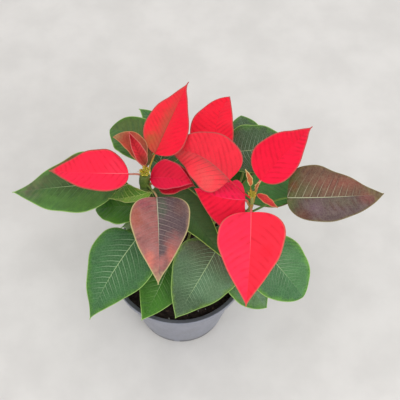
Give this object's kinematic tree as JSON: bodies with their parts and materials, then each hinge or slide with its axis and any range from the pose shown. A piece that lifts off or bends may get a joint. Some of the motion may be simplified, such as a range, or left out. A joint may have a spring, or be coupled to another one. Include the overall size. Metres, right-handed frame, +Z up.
{
  "type": "potted poinsettia plant",
  "caption": "Poinsettia in a round nursery pot: forked stem, red bracts round small yellow-green flowers, pointed green leaves below, dark soil.",
  "frame": {"origin": "middle of the pot's underside, on the surface that the pot stands on", "axes": "+Z up along the pot's axis; -Y is the front, where the fullest leaves hang over the rim; +X to the right"},
  "size_m": [0.328, 0.2113, 0.2436],
  "materials": {
    "pot_plastic": "satin",
    "peat": "matte",
    "green_stem": "satin",
    "flower": "satin",
    "red_bract": "satin",
    "turning_bract": "satin",
    "green_leaf": "satin"
  },
  "bodies": {
    "root": {"pot": "pot_plastic", "soil": "peat", "stem": "green_stem", "cyathia_left": "flower", "cyathia_right": "flower", "bract_left_rear": "red_bract", "bract_left_outer": "red_bract", "bract_left_inner": "red_bract", "bract_left_inner_low": "red_bract", "bract_left_front": "turning_bract", "bract_right_rear": "red_bract", "bract_right_inner": "red_bract", "bract_right_outer": "red_bract", "bract_right_front": "red_bract", "bract_right_folded": "red_bract", "bract_right_side": "turning_bract", "young_bract_left_wide": "turning_bract", "young_bract_left_folded": "red_bract", "young_bract_left_dark": "turning_bract", "young_bract_right_upright": "turning_bract", "young_bract_right_small": "turning_bract", "young_bract_right_low": "red_bract", "leaf_far_left": "green_leaf", "leaf_left_upper": "green_leaf", "leaf_left_lower": "green_leaf", "leaf_left_low": "green_leaf", "leaf_left_small": "green_leaf", "leaf_front_left": "green_leaf", "leaf_front_middle": "green_leaf", "leaf_front_centre": "green_leaf", "leaf_middle": "green_leaf", "leaf_front_right_low": "green_leaf", "leaf_front_right": "green_leaf", "leaf_right_upper": "green_leaf", "leaf_rear_left_round": "green_leaf", "leaf_rear_left_tall": "green_leaf", "leaf_rear_centre": "green_leaf", "leaf_rear_left_low": "green_leaf", "leaf_rear_right_low": "green_leaf", "leaf_rear_right_tall": "green_leaf", "leaf_rear_right_wide": "green_leaf"}
  },
  "joints": []
}
